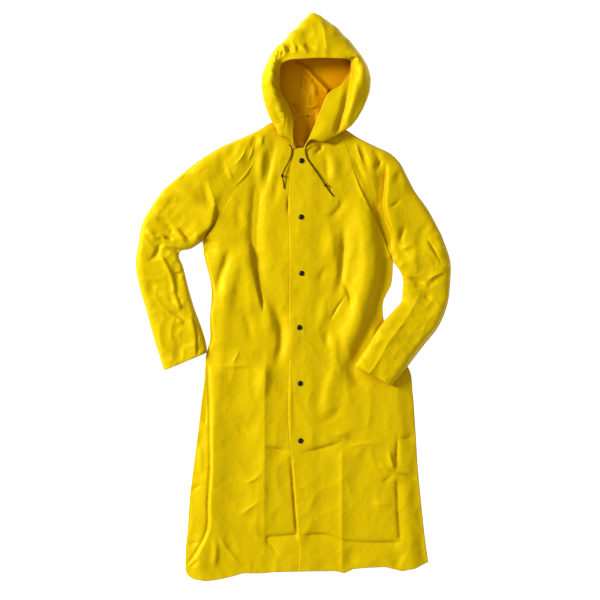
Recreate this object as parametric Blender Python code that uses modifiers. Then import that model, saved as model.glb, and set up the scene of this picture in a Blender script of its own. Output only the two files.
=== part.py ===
"""Full-length hooded raincoat of coated cloth, laid flat with its front up.

Frame: metres.  The coat lies on z = 0, its hood towards +Y, its hem towards -Y
and the wearer's left side (the front that laps over) towards +X.
Every cloth piece is one sheet of the same wall; neighbouring pieces stop a
hair short of each other at their seams.
"""
import math

import bmesh
import bpy
import numpy as np
from mathutils import Vector

# ---------------------------------------------------------------- sizes
WALL = 0.0015            # coated cloth with its turned seams
SEAM = 0.0006            # each sheet stops this far short of a seam line
REST = 0.0027            # middle of a sheet that lies on another one at a side seam
PLATEAU = 0.0120         # middle of the fronts away from their edges
EDGE_RISE = 0.070        # distance over which the fronts rise from the side seams
LAP_STEP = 0.0032        # the overlapping front lies this much above the other
LAP_IN, LAP_OUT = 0.052, 0.095   # the step fades out between these x
UNDERLAP = 0.054         # x of the hidden edge of the front underneath

TOUCH = 0.0003           # gap between pieces that lie on each other
SNAP_RADIUS = 0.0078
SNAP_HEIGHT = 0.0028
SNAP_TOP = 0.82          # the cap's flat top, as a share of its radius
CORD_RADIUS = 0.0014
KNOT_RING, KNOT_TUBE = 0.0035, 0.0016

YELLOW = (0.86, 0.68, 0.01)
YELLOW_INSIDE = (0.78, 0.55, 0.01)
BLACK = (0.012, 0.012, 0.012)

# ---------------------------------------------------------------- outlines (x, y)
NECK_FRONT_R = [(0.054, 0.429), (0.010, 0.431), (-0.001, 0.460), (-0.003, 0.492)]
NECK_FRONT_L = [(-0.003, 0.431), (0.031, 0.434), (0.048, 0.467), (0.064, 0.496)]
RAGLAN_R = [(-0.003, 0.492), (-0.061, 0.485), (-0.097, 0.416), (-0.135, 0.344),
            (-0.174, 0.301), (-0.204, 0.250), (-0.235, 0.200), (-0.262, 0.163)]
RAGLAN_L = [(0.064, 0.496), (0.138, 0.474), (0.162, 0.425), (0.177, 0.369),
            (0.193, 0.325), (0.213, 0.280), (0.250, 0.205), (0.290, 0.105)]
SIDE_R = [(-0.262, 0.163), (-0.250, 0.084), (-0.238, 0.020), (-0.242, -0.120),
          (-0.257, -0.234), (-0.274, -0.378), (-0.286, -0.471), (-0.303, -0.645),
          (-0.311, -0.800)]
SIDE_L = [(0.290, 0.105), (0.284, 0.037), (0.262, -0.011), (0.264, -0.074),
          (0.300, -0.190), (0.340, -0.250), (0.356, -0.402), (0.372, -0.600),
          (0.392, -0.767)]
PLACKET = [(-0.003, 0.431), (-0.012, 0.291), (-0.010, 0.109), (-0.012, -0.181),
           (-0.009, -0.419), (0.001, -0.531), (0.015, -0.690), (0.015, -0.793)]
HEM_R = [(-0.311, -0.800), (-0.253, -0.822), (-0.180, -0.809), (-0.091, -0.799),
         (0.014, -0.794), (0.068, -0.793)]
HEM_L = [(0.015, -0.793), (0.126, -0.793), (0.148, -0.799), (0.211, -0.783),
         (0.268, -0.781), (0.315, -0.793), (0.392, -0.767)]
NECK_BACK = [(0.064, 0.520), (0.045, 0.5235), (0.019, 0.5180), (0.006, 0.5130)]

# Main folds of the body: route, depth below the sheet (a minus sign is a
# ridge), and half width.
BODY_FOLDS = [
    dict(route=[(-0.101, 0.367), (-0.119, 0.201), (-0.122, 0.138), (-0.107, 0.022),
                (-0.096, -0.030)], depth=0.006, width=0.026),
    dict(route=[(-0.160, 0.150), (-0.140, 0.080), (-0.128, 0.000)], depth=-0.008, width=0.022),
    dict(route=[(-0.092, 0.420), (-0.090, 0.318), (-0.098, 0.250)], depth=-0.006, width=0.020),
    dict(route=[(-0.175, 0.144), (-0.203, 0.051), (-0.206, -0.020)], depth=0.005, width=0.020),
    dict(route=[(-0.087, 0.014), (-0.055, -0.080), (-0.058, -0.200)], depth=0.004, width=0.022),
    dict(route=[(0.145, 0.214), (0.143, 0.060), (0.132, -0.060)], depth=0.006, width=0.026),
    dict(route=[(0.190, 0.200), (0.195, 0.060), (0.170, -0.100)], depth=-0.005, width=0.026),
    dict(route=[(-0.237, -0.200), (-0.237, -0.471), (-0.250, -0.690)], depth=0.005, width=0.020),
    dict(route=[(0.302, -0.374), (0.300, -0.560), (0.306, -0.710)], depth=0.005, width=0.024),
    dict(route=[(-0.222, -0.198), (-0.105, -0.198)], depth=-0.003, width=0.022),
    dict(route=[(0.120, -0.430), (0.330, -0.412)], depth=-0.004, width=0.024),
]

# Sleeves.  The top row of points is the fold along the top of the arm, from the
# neck to the armpit; the raglan seam is the other edge there.  The table goes on
# from the armpit to the cuff: outer = that fold, inner = underarm seam.
# rise = how far the upper layer bows up.
SLEEVE_R_TOP = [(-0.004, 0.5115), (-0.061, 0.510), (-0.117, 0.474), (-0.187, 0.444),
                (-0.260, 0.402), (-0.332, 0.347), (-0.376, 0.312)]
SLEEVE_R = [
    dict(outer=(-0.407, 0.268), inner=(-0.298, 0.141), rise=0.013),
    dict(outer=(-0.434, 0.219), inner=(-0.329, 0.132), rise=0.014),
    dict(outer=(-0.455, 0.103), inner=(-0.321, 0.096), rise=0.016),
    dict(outer=(-0.445, 0.033), inner=(-0.303, 0.035), rise=0.015),
    dict(outer=(-0.428, -0.028), inner=(-0.287, -0.030), rise=0.014),
    dict(outer=(-0.405, -0.112), inner=(-0.268, -0.090), rise=0.013),
    dict(outer=(-0.373, -0.213), inner=(-0.252, -0.163), rise=0.013),
]
SLEEVE_L_TOP = [(0.067, 0.5180), (0.148, 0.490), (0.187, 0.468), (0.240, 0.440),
                (0.312, 0.390), (0.345, 0.325), (0.385, 0.264), (0.430, 0.182)]
SLEEVE_L = [
    dict(outer=(0.456, 0.100), inner=(0.318, 0.052), rise=0.016),
    dict(outer=(0.448, 0.000), inner=(0.315, 0.005), rise=0.016),
    dict(outer=(0.420, -0.086), inner=(0.290, -0.039), rise=0.015),
    dict(outer=(0.380, -0.139), inner=(0.255, -0.085), rise=0.014),
    dict(outer=(0.335, -0.195), inner=(0.215, -0.142), rise=0.013),
    dict(outer=(0.284, -0.258), inner=(0.180, -0.197), rise=0.013),
]
SHOULDER_RISE = 0.013           # bow of the upper layer at the armpit
RAGLAN_POINTS = 15              # points along each raglan seam, shared by its pieces
SIDE_POINTS = 20                # points along each side seam
PANEL_COLUMNS = 14              # points across each front
SLEEVE_L_OVER_BODY = 0.0185     # middle of the lower layer where it lies on the front
CLIMB_OUT, CLIMB_IN = 0.036, 0.010   # it climbs from this far outside the side seam to this far in
CLIMB_TOP, CLIMB_FADE = 0.120, 0.060 # it lies on the floor above this y, and climbs fully below the fade
ROUND_THE_ARM_FOLD = 0.0024     # radius of the fold along the top of the arm

# Hood halves, from the neck seam to the middle of the brim.  hem = face edge,
# wall = on the side wall (or on the crown), fold = foot of the wall (or the
# fold at the crown's outline), floor = on the layer that lies on the ground,
# back = y on the centre seam at the back.
HOOD_R = [
    dict(hem=(0.0035, 0.434, 0.0172), wall=(0.001, 0.462, 0.0150), fold=(0.0010, 0.490, 0.0145),
         floor=(0.012, 0.5195, 0.0008), back=0.5250),
    dict(hem=(-0.028, 0.462, 0.030), wall=(-0.020, 0.495, 0.027), fold=(-0.012, 0.524, 0.020),
         floor=(0.020, 0.546, 0.0012), back=0.548),
    dict(hem=(-0.059, 0.510, 0.042), wall=(-0.040, 0.534, 0.030), fold=(-0.016, 0.556, 0.010),
         floor=(0.018, 0.570, 0.0010), back=0.576),
    dict(hem=(-0.078, 0.562, 0.054), wall=(-0.056, 0.578, 0.034), fold=(-0.028, 0.590, 0.008),
         floor=(0.012, 0.602, 0.0010), back=0.610),
    dict(hem=(-0.089, 0.610, 0.060), wall=(-0.064, 0.620, 0.038), fold=(-0.034, 0.628, 0.008),
         floor=(0.012, 0.640, 0.0010), back=0.650),
    dict(hem=(-0.084, 0.652, 0.062), wall=(-0.066, 0.658, 0.042), fold=(-0.038, 0.664, 0.008),
         floor=(0.012, 0.680, 0.0010), back=0.690),
    dict(hem=(-0.062, 0.683, 0.062), wall=(-0.060, 0.688, 0.044), fold=(-0.047, 0.692, 0.010),
         floor=(0.014, 0.706, 0.0010), back=0.720),
    dict(hem=(-0.030, 0.684, 0.062), wall=(-0.038, 0.704, 0.050), fold=(-0.034, 0.721, 0.009),
         floor=(0.016, 0.730, 0.0010), back=0.742),
    dict(hem=(0.015, 0.687, 0.063), wall=(0.006, 0.730, 0.044), fold=(0.002, 0.764, 0.0075),
         floor=(0.030, 0.764, 0.0010), back=0.768),
    dict(hem=(0.055, 0.690, 0.064), wall=(0.046, 0.752, 0.042), fold=(0.032, 0.802, 0.0065),
         floor=(0.050, 0.794, 0.0010), back=0.792),
    dict(hem=(0.097, 0.692, 0.064), wall=(0.088, 0.758, 0.042), fold=(0.071, 0.820, 0.0055),
         floor=(0.068, 0.814, 0.0010), back=0.808),
]
HOOD_L = [
    dict(hem=(0.0370, 0.437, 0.0182), wall=(0.050, 0.466, 0.0179), fold=(0.0640, 0.499, 0.0168),
         floor=(0.060, 0.5235, 0.0008), back=0.5250),
    dict(hem=(0.074, 0.449, 0.031), wall=(0.078, 0.484, 0.028), fold=(0.084, 0.525, 0.020),
         floor=(0.066, 0.548, 0.0012), back=0.548),
    dict(hem=(0.118, 0.466, 0.038), wall=(0.108, 0.508, 0.030), fold=(0.096, 0.553, 0.012),
         floor=(0.072, 0.572, 0.0010), back=0.576),
    dict(hem=(0.160, 0.494, 0.048), wall=(0.138, 0.536, 0.032), fold=(0.108, 0.580, 0.008),
         floor=(0.080, 0.602, 0.0010), back=0.610),
    dict(hem=(0.196, 0.548, 0.056), wall=(0.166, 0.572, 0.036), fold=(0.130, 0.606, 0.007),
         floor=(0.092, 0.638, 0.0010), back=0.650),
    dict(hem=(0.218, 0.604, 0.062), wall=(0.184, 0.622, 0.042), fold=(0.150, 0.646, 0.008),
         floor=(0.104, 0.676, 0.0010), back=0.690),
    dict(hem=(0.216, 0.656, 0.063), wall=(0.195, 0.668, 0.046), fold=(0.168, 0.682, 0.010),
         floor=(0.112, 0.708, 0.0010), back=0.720),
    dict(hem=(0.190, 0.688, 0.062), wall=(0.192, 0.696, 0.050), fold=(0.180, 0.711, 0.009),
         floor=(0.120, 0.730, 0.0010), back=0.742),
    dict(hem=(0.162, 0.690, 0.063), wall=(0.162, 0.722, 0.046), fold=(0.152, 0.746, 0.0075),
         floor=(0.110, 0.762, 0.0010), back=0.768),
    dict(hem=(0.130, 0.691, 0.064), wall=(0.128, 0.742, 0.042), fold=(0.112, 0.790, 0.0065),
         floor=(0.092, 0.794, 0.0010), back=0.792),
    dict(hem=(0.0990, 0.692, 0.064), wall=(0.0900, 0.758, 0.042), fold=(0.0730, 0.820, 0.0055),
         floor=(0.0700, 0.814, 0.0010), back=0.808),
]
BACK_SEAM = [(0.524, 0.0450), (0.650, 0.0580), (0.808, 0.0680)]    # (y, x)

# ---------------------------------------------------------------- trim
SNAPS = [(0.025, 0.396), (0.024, 0.233), (0.025, 0.070), (0.019, -0.087),
         (0.021, -0.249), (0.022, -0.415)]
CORD_R = [(-0.0110, 0.4420, 0.0260), (-0.0055, 0.4370, 0.0235), (-0.0030, 0.4300, 0.0200),
          (-0.0030, 0.4190, 0.0181), (-0.0090, 0.3990, 0.0179), (-0.0160, 0.3850, 0.0179),
          (-0.0240, 0.3700, 0.0185), (-0.0310, 0.3520, 0.0190), (-0.0290, 0.3420, 0.0180),
          (-0.0265, 0.3300, 0.0155), (-0.0258, 0.3150, 0.0147)]
CORD_L = [(0.0560, 0.4560, 0.0300), (0.0480, 0.4500, 0.0280), (0.0395, 0.4390, 0.0235),
          (0.0365, 0.4280, 0.0195), (0.0375, 0.4160, 0.0181), (0.0430, 0.4000, 0.0179),
          (0.0540, 0.3840, 0.0179), (0.0690, 0.3630, 0.0176), (0.0840, 0.3400, 0.0185),
          (0.0940, 0.3250, 0.0188), (0.1040, 0.3100, 0.0165), (0.1160, 0.2940, 0.0148)]
KNOT_R_AT = 7            # row of CORD_R where its knot is
KNOT_L_AT = 9            # row of CORD_L where its knot is


# ---------------------------------------------------------------- curves
def smooth(points, count):
    """count points, evenly spaced, on a smooth curve through the given ones."""
    pts = np.array(points, float)
    chord = np.r_[0, np.cumsum(np.linalg.norm(np.diff(pts, axis=0), axis=1))]
    slope = np.gradient(pts, chord, axis=0)
    fine = np.linspace(0, chord[-1], 40 * len(pts))
    place = np.clip(np.searchsorted(chord, fine, "right") - 1, 0, len(pts) - 2)
    span = (chord[place + 1] - chord[place])[:, None]
    t = (fine - chord[place])[:, None] / span
    curve = ((2 * t**3 - 3 * t**2 + 1) * pts[place] + (t**3 - 2 * t**2 + t) * span * slope[place]
             + (3 * t**2 - 2 * t**3) * pts[place + 1] + (t**3 - t**2) * span * slope[place + 1])
    return even(curve, count)


def even(points, count):
    """count points at equal steps along a polyline."""
    pts = np.array(points, float)
    run = np.r_[0, np.cumsum(np.linalg.norm(np.diff(pts, axis=0), axis=1))]
    steps = np.linspace(0, run[-1], count)
    return np.stack([np.interp(steps, run, pts[:, k]) for k in range(pts.shape[1])], axis=1)


def ease(t):
    t = np.clip(t, 0, 1)
    return t * t * (3 - 2 * t)


def inset(points, distance):
    """A polyline moved sideways to the left of its direction."""
    pts = np.array(points, float)
    along = np.gradient(pts, axis=0)
    along /= np.linalg.norm(along, axis=1)[:, None]
    return pts + distance * np.stack([-along[:, 1], along[:, 0]], axis=1)


def distance_to(route, x, y):
    """Distance of each (x, y) from a route, and how far along it lies (0 to 1)."""
    pts = np.array(route, float)
    run = np.r_[0, np.cumsum(np.linalg.norm(np.diff(pts, axis=0), axis=1))]
    best = np.full(x.shape, 1e9)
    along = np.zeros(x.shape)
    for k in range(len(pts) - 1):
        d = pts[k + 1] - pts[k]
        t = np.clip(((x - pts[k, 0]) * d[0] + (y - pts[k, 1]) * d[1]) / (d @ d), 0, 1)
        gap = np.hypot(x - pts[k, 0] - t * d[0], y - pts[k, 1] - t * d[1])
        nearer = gap < best
        best = np.where(nearer, gap, best)
        along = np.where(nearer, (run[k] + t * (run[k + 1] - run[k])) / run[-1], along)
    return best, along


# ---------------------------------------------------------------- heights
def side_clearance(x, y):
    """How far inside the side seams a point lies; large above the armpits."""
    left = np.array([(-0.60, 0.30)] + SIDE_R)
    right = np.array([(0.70, 0.30)] + SIDE_L)
    x_left = np.interp(y, left[::-1, 1], left[::-1, 0])
    x_right = np.interp(y, right[::-1, 1], right[::-1, 0])
    return np.minimum(x - x_left, x_right - x)


def body_height(x, y):
    """Height of the middle of the fronts' cloth."""
    z = REST + (PLATEAU - REST) * ease(side_clearance(x, y) / EDGE_RISE)
    for fold in BODY_FOLDS:
        gap, along = distance_to(fold["route"], x, y)
        taper = ease(along / 0.25) * ease((1 - along) / 0.25)
        z = z - fold["depth"] * taper * np.exp(-(gap / fold["width"]) ** 2)
    return np.maximum(z, REST)


def lap_height(x, y):
    """The front that laps over lies above the other along the placket."""
    return body_height(x, y) + LAP_STEP * (1 - ease((x - LAP_IN) / (LAP_OUT - LAP_IN)))


# ---------------------------------------------------------------- objects
def material(name, colour, roughness):
    mat = bpy.data.materials.new(name)
    mat.use_nodes = True
    shader = mat.node_tree.nodes["Principled BSDF"]
    shader.inputs["Base Color"].default_value = (*colour, 1)
    shader.inputs["Roughness"].default_value = roughness
    shader.inputs["Metallic"].default_value = 0.0
    return mat


def add(name, data, mat):
    obj = bpy.data.objects.new(name, data)
    obj.data.materials.append(mat)
    coat.objects.link(obj)
    return obj


def sheet(name, grid, mat, flip=False):
    """A cloth piece: rows of points joined into one surface, thickened to WALL."""
    bm = bmesh.new()
    rows = [[bm.verts.new(p) for p in row] for row in grid]
    for low, high in zip(rows, rows[1:]):
        for a, b, c, d in zip(low, low[1:], high[1:], high):
            bm.faces.new((d, c, b, a) if flip else (a, b, c, d))
    mesh = bpy.data.meshes.new(name)
    bm.to_mesh(mesh)
    bm.free()
    mesh.shade_smooth()
    obj = add(name, mesh, mat)
    wall = obj.modifiers.new("Wall", "SOLIDIFY")
    wall.thickness = WALL
    wall.offset = 0.0
    return obj


def length(points):
    return np.linalg.norm(np.diff(np.array(points, float), axis=0), axis=1).sum()


def split_like(points, edge):
    """Cut a polyline in two at the same share of its length as another edge."""
    share = length(edge[0]) / (length(edge[0]) + length(edge[1]))
    fine = even(points, 400)
    cut = int(round(share * 399))
    return fine[:cut + 1], fine[cut:]


def edge_points(upper, lower):
    """The raglan stretch keeps its shared points; the side seam gets even ones."""
    if len(upper) != RAGLAN_POINTS:
        upper = even(upper, RAGLAN_POINTS)
    return np.concatenate([upper, even(lower, SIDE_POINTS)[1:]])[::-1]


def panel_points(left, right, top, bottom):
    """Points of a four-sided panel between its edges, row by row from the hem."""
    left, right = edge_points(*left), edge_points(*right)
    low, high = even(bottom, PANEL_COLUMNS), even(top, PANEL_COLUMNS)
    u = np.linspace(0, 1, PANEL_COLUMNS)[None, :, None]
    v = np.linspace(0, 1, len(left))[:, None, None]
    ruled = (1 - u) * left[:, None] + u * right[:, None] + (1 - v) * low[None] + v * high[None]
    corners = ((1 - u) * (1 - v) * low[0] + u * (1 - v) * low[-1]
               + (1 - u) * v * high[0] + u * v * high[-1])
    return ruled - corners


def with_height(points, height):
    z = height(points[..., 0], points[..., 1])
    return np.concatenate([points, z[..., None]], axis=-1)


def build_back(mat):
    edge = list(inset(smooth(RAGLAN_R, RAGLAN_POINTS), SEAM))
    edge += list(even(SIDE_R, 24)[1:]) + list(even(HEM_R + HEM_L[1:], 24)[1:])
    edge += list(even(SIDE_L, 24)[::-1][1:])
    edge += list(inset(smooth(RAGLAN_L, RAGLAN_POINTS), -SEAM)[::-1][1:])
    edge += [np.array(p) for p in NECK_BACK]
    curve = bpy.data.curves.new("back", "CURVE")
    curve.dimensions = "2D"
    curve.fill_mode = "BOTH"
    curve.extrude = WALL / 2
    spline = curve.splines.new("POLY")
    spline.points.add(len(edge) - 1)
    for point, (x, y) in zip(spline.points, edge):
        point.co = (x, y, 0, 1)
    spline.use_cyclic_u = True
    obj = add("back", curve, mat)
    obj.location.z = WALL / 2


def build_fronts(mat):
    under = [(UNDERLAP, 0.429), (UNDERLAP, 0.100), (UNDERLAP, -0.430), (0.068, -0.793)]
    outer = (inset(smooth(RAGLAN_R, RAGLAN_POINTS), SEAM), SIDE_R)
    inner = split_like(under, outer)
    grid = panel_points(outer, inner, NECK_FRONT_R[::-1], HEM_R)
    sheet("front_r", with_height(grid, body_height), mat)

    outer = (inset(smooth(RAGLAN_L, RAGLAN_POINTS), -SEAM), SIDE_L)
    inner = split_like(PLACKET, outer)
    grid = panel_points(inner, outer, NECK_FRONT_L, HEM_L)
    sheet("front_l", with_height(grid, lap_height), mat)


def sleeve_section(outer, start, rise, seam_height, floor):
    """One section round a sleeve, from the front seam over the arm fold to the back seam."""
    across = outer - start
    across = across / np.linalg.norm(across)
    r = ROUND_THE_ARM_FOLD
    edge = outer - r * across
    points = []
    for u in (0.0, 0.12, 0.28, 0.46, 0.64, 0.82, 1.0):
        at = start + u * (edge - start)
        base = seam_height * (1 - u) + (floor(*outer) + 2 * r) * u
        over = rise * math.sin(math.pi * u) ** 0.75
        points.append((*at, max(base + over, floor(*at) + 2 * WALL)))
    for angle in (45, 90, 135):
        turn = math.radians(angle)
        at = edge + r * math.sin(turn) * across
        points.append((*at, floor(*outer) + r + r * math.cos(turn)))
    for u in (1.0, 0.8, 0.6, 0.4, 0.2, 0.0):
        at = start + u * (edge - start)
        points.append((*at, floor(*at)))
    return points


def flat_floor(x, y):
    return WALL / 2


def floor_over_body(x, y):
    """Lower layer of the sleeve that lies across the front."""
    inside = float(side_clearance(np.array([x]), np.array([y]))[0])
    lift = ease((inside + CLIMB_OUT) / (CLIMB_OUT + CLIMB_IN)) * ease((CLIMB_TOP - y) / CLIMB_FADE)
    return WALL / 2 + SLEEVE_L_OVER_BODY * float(lift)


def build_sleeve(name, raglan, top, table, floor, rows, mat, flip):
    """Sections from the neck down the raglan seam, then along the arm to the cuff."""
    outer = np.concatenate([smooth(top, RAGLAN_POINTS), [row["outer"] for row in table]])
    inner = np.concatenate([raglan, [row["inner"] for row in table]])
    rise = np.r_[SHOULDER_RISE * ease(np.linspace(0, 1.6, RAGLAN_POINTS)),
                 [row["rise"] for row in table]]
    armpit = RAGLAN_POINTS - 1
    arm = np.linspace(armpit, len(outer) - 1, rows)[1:]
    grid = []
    for k in list(range(RAGLAN_POINTS)) + list(arm):
        numbers = np.arange(len(outer))
        at_outer = np.array([np.interp(k, numbers, outer[:, axis]) for axis in range(2)])
        at_inner = np.array([np.interp(k, numbers, inner[:, axis]) for axis in range(2)])
        x, y = at_inner
        on_body = float(body_height(np.array([x]), np.array([y]))[0])
        underarm = floor(x, y) + WALL + 2 * TOUCH
        mix = float(ease((k - armpit + 1.0) / 1.5))
        height = max(on_body * (1 - mix) + underarm * mix, underarm)
        grid.append(sleeve_section(at_outer, at_inner, np.interp(k, numbers, rise), height, floor))
    sheet(name, grid, mat, flip=flip)


def build_hood_half(name, table, side, mat, flip):
    columns, rows = 13, 21
    seam_y, seam_x = zip(*BACK_SEAM)
    sections = []
    for row in table:
        x = float(np.interp(row["back"], seam_y, seam_x)) + side * SEAM
        points = [row["hem"], row["wall"], row["fold"], row["floor"], (x, row["back"], WALL / 2)]
        sections.append(smooth(points, columns))
    sections = np.array(sections)
    grid = np.stack([smooth(sections[:, k], rows) for k in range(columns)], axis=1)
    grid[..., 2] = np.maximum(grid[..., 2], WALL / 2)
    sheet(name, grid, mat, flip=flip)


def build_snaps(mat):
    for number, (x, y) in enumerate(SNAPS, 1):
        top = float(lap_height(np.array([x]), np.array([y]))[0]) + WALL / 2 + TOUCH
        bm = bmesh.new()
        bmesh.ops.create_cone(bm, cap_ends=True, segments=24, radius1=SNAP_RADIUS,
                              radius2=SNAP_TOP * SNAP_RADIUS, depth=SNAP_HEIGHT)
        mesh = bpy.data.meshes.new(f"snap_{number}")
        bm.to_mesh(mesh)
        bm.free()
        obj = add(mesh.name, mesh, mat)
        obj.location = (x, y, top + SNAP_HEIGHT / 2)


def build_cord(name, route, mat):
    curve = bpy.data.curves.new(name, "CURVE")
    curve.dimensions = "3D"
    curve.bevel_depth = CORD_RADIUS
    curve.bevel_resolution = 2
    curve.use_fill_caps = True
    points = smooth(route, int(length(smooth(route, 200)) / (5 * CORD_RADIUS)))
    spline = curve.splines.new("POLY")
    spline.points.add(len(points) - 1)
    for point, co in zip(spline.points, points):
        point.co = (*co, 1)
    add(name, curve, mat)


def build_knot(name, route, at, mat):
    bpy.ops.mesh.primitive_torus_add(major_radius=KNOT_RING, minor_radius=KNOT_TUBE,
                                     major_segments=16, minor_segments=8)
    obj = bpy.context.object
    for collection in obj.users_collection:
        collection.objects.unlink(obj)
    coat.objects.link(obj)
    obj.name = name
    obj.data.name = name
    obj.data.materials.append(mat)
    along = Vector(route[at + 1]) - Vector(route[at - 1])
    obj.rotation_euler = along.to_track_quat("Z", "Y").to_euler()
    obj.location = route[at]


# ---------------------------------------------------------------- build
for old in list(bpy.data.objects):
    bpy.data.objects.remove(old)
coat = bpy.data.collections.new("hooded_raincoat")
bpy.context.scene.collection.children.link(coat)

build_back(material("back_cloth", YELLOW_INSIDE, 0.42))
build_fronts(material("front_cloth", YELLOW, 0.38))
build_sleeve("sleeve_r", inset(smooth(RAGLAN_R, RAGLAN_POINTS), -SEAM), SLEEVE_R_TOP, SLEEVE_R,
             flat_floor, 12, material("sleeve_r_cloth", YELLOW, 0.38), True)
build_sleeve("sleeve_l", inset(smooth(RAGLAN_L, RAGLAN_POINTS), SEAM), SLEEVE_L_TOP, SLEEVE_L,
             floor_over_body, 14, material("sleeve_l_cloth", YELLOW, 0.38), False)
build_hood_half("hood_r", HOOD_R, -1, material("hood_r_cloth", YELLOW, 0.40), True)
build_hood_half("hood_l", HOOD_L, 1, material("hood_l_cloth", YELLOW, 0.40), False)
build_snaps(material("snap_plastic", BLACK, 0.25))
cord_look = material("drawcord", BLACK, 0.7)
build_cord("cord_r", CORD_R, cord_look)
build_cord("cord_l", CORD_L, cord_look)
build_knot("knot_r", CORD_R, KNOT_R_AT, cord_look)
build_knot("knot_l", CORD_L, KNOT_L_AT, cord_look)
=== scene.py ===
"""Looks of the hooded raincoat: fine cloth shells, snaps, drawcord, camera and light.

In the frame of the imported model: the coat lies on z = 0, front up, hood towards +Y.
Each cloth piece is one fine sheet on its CAD solid's form, with the folds of the
tables below pressed into it.  Single values are in metres.  All tables of points and
folds are in millimetres, as x, y or x, y, z, and metres() reads them.
"""
import math

import bpy
import numpy as np
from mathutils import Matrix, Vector, noise


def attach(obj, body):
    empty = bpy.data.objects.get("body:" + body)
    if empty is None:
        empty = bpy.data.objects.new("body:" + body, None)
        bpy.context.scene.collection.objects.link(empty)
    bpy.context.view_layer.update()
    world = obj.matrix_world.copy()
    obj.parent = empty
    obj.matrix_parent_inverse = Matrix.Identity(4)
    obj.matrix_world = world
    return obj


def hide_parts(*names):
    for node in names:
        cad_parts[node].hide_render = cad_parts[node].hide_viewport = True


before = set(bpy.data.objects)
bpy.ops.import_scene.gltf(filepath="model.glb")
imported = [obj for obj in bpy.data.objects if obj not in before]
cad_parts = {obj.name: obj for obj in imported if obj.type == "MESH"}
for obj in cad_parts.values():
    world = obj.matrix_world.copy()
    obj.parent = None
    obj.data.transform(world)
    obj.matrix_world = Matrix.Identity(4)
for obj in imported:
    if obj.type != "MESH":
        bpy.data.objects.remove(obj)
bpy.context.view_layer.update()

# ---------- sizes
WALL = 0.0010  # thickness of the cloth that shows
SEAM = 0.0005  # each sheet stops this far short of a seam line
REST = 0.0027  # middle of a sheet that lies on another one at a side seam
PLATEAU = 0.0120  # middle of the fronts away from their edges
EDGE_RISE = 0.050  # distance over which the fronts rise from the side seams
CALM = 0.010  # creases die out this close to a seam or an edge
LAP_STEP = 0.0030  # the overlapping front lies this much above the other
LAP_IN, LAP_OUT = 0.045, 0.085  # the step fades out between these x
UNDERLAP = 0.054  # x of the hidden edge of the front underneath
TUCK = 0.0050  # a seam allowance runs this far under the next piece
TUCK_DROP = 0.0014  # and this far below its middle
UNDER_HOOD = 0.010  # the back runs this far under the hood,
UNDER_HOOD_FROM = 0.500  # above this y
BACK_CALM = 0.03  # its waves die out this close to the side seams
BEYOND_R, BEYOND_L = (-0.60, 0.30), (0.70, 0.30)  # above the armpits there is no side seam

# Shapes of folds
CRISP = 1.5  # a sharp crease rises this much more than the tables say
CREASE_FALL = 1.4  # how steeply it falls off over its half width
LIP_CREVICE = 0.45  # depth of the crevice under a lip, as a share of its rise
CREVICE_AT, CREVICE_WIDTH = 2.6, 1.6  # its place and width, in the lip's right half widths
FOLD_REACH = 3.4  # a fold adds nothing beyond this many half widths
ROUTE_POINTS = 6  # points on a fold's smooth route for each one in its row
SEED_STEPS = (7.3, 3.1, 1.7)  # each seed shifts the noise by this
FACET_BEND, FACET_BEND_SIZE = 0.35, 1.7  # facets are bent this far, by noise this large
FACET_SLOPE = 3.2  # fall from the ridges to the middle of the facets

# Sleeves
LAYER_GAP = 0.0017  # least distance between the middles of the two layers
ARM_FOLD = 0.0024  # radius of the fold along the top of the arm
ARM_TOP = 0.0150  # height of the upper layer over the lower one
LEVEL = 0.75  # how far the upper layer stays level where the lower one drops
SHOULDER_RISE = 0.06  # distance over which a shoulder rises from the raglan seam
SEAM_ROUND, FOLD_ROUND = 0.028, 0.026  # the arm is round over these distances at its edges
ROUND_SHARE = 0.8  # or at the fold over this share of the width, if that is less
SLEEVE_L_OVER_BODY = 0.0185  # lift of the lower layer where it lies on the front
CLIMB_FROM, CLIMB = 0.066, 0.090  # it climbs from here outside the side seam, over this
LIFT_TOP, LIFT_RUN = 0.120, 0.06  # and only below this y, over this distance
ARM_BLEND = 22  # rows over which the shoulder becomes a tube
SEAM_LAP, SEAM_SINK = 0.0004, 0.0001  # a sleeve's edge lies this far in and down

# Hood
HOOD_STAND = 0.10  # it stands taller by this share of its height
HOOD_LOW = 0.020  # above this level
FACING = 0.2  # inside folds take over as the z of a normal sinks from + this to - this
HOOD_FACETS, HOOD_WAVES = 0.0009, 0.0012  # how uneven it is between its folds
TUNNEL = 0.026  # width of the drawcord tunnel along the hem
SEWN_DEPTH, SEWN_WIDTH = 0.0012, 0.0022  # its sewn line
SEWN_TO = 0.03  # which fades out towards this x
GATHER_SIZE, GATHER_STRETCH = 0.0150, 0.30  # puckers: their size, and how much longer across
GATHER_AT, GATHER_WIDTH = 0.012, 0.014  # their place beyond the tunnel, and their width
GATHER_TO, GATHER_FADE = 0.05, 0.06  # they fade out towards this x, over this
GATHER_FROM = 0.10  # and begin over this distance from the neck
RIDGE_RISE, RIDGE_ROWS = 0.0012, 5.0  # ridge of the centre seam, in rows of the mesh
BRIM_RISE, BRIM_WIDTH = 0.0010, 0.004  # turned edge of the brim
BRIM_FROM, BRIM_FADE = 0.67, 0.015  # from this y, over this
BRIM_TUCK = 0.004  # seam allowance under the other half at the crown
NECK_OVER, NECK_FADE = 0.530, 0.015  # up to this y it lies on the back, and a bit beyond
SEAM_FADE = 0.012  # one half lies on the other's allowance this far from the seam

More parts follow.
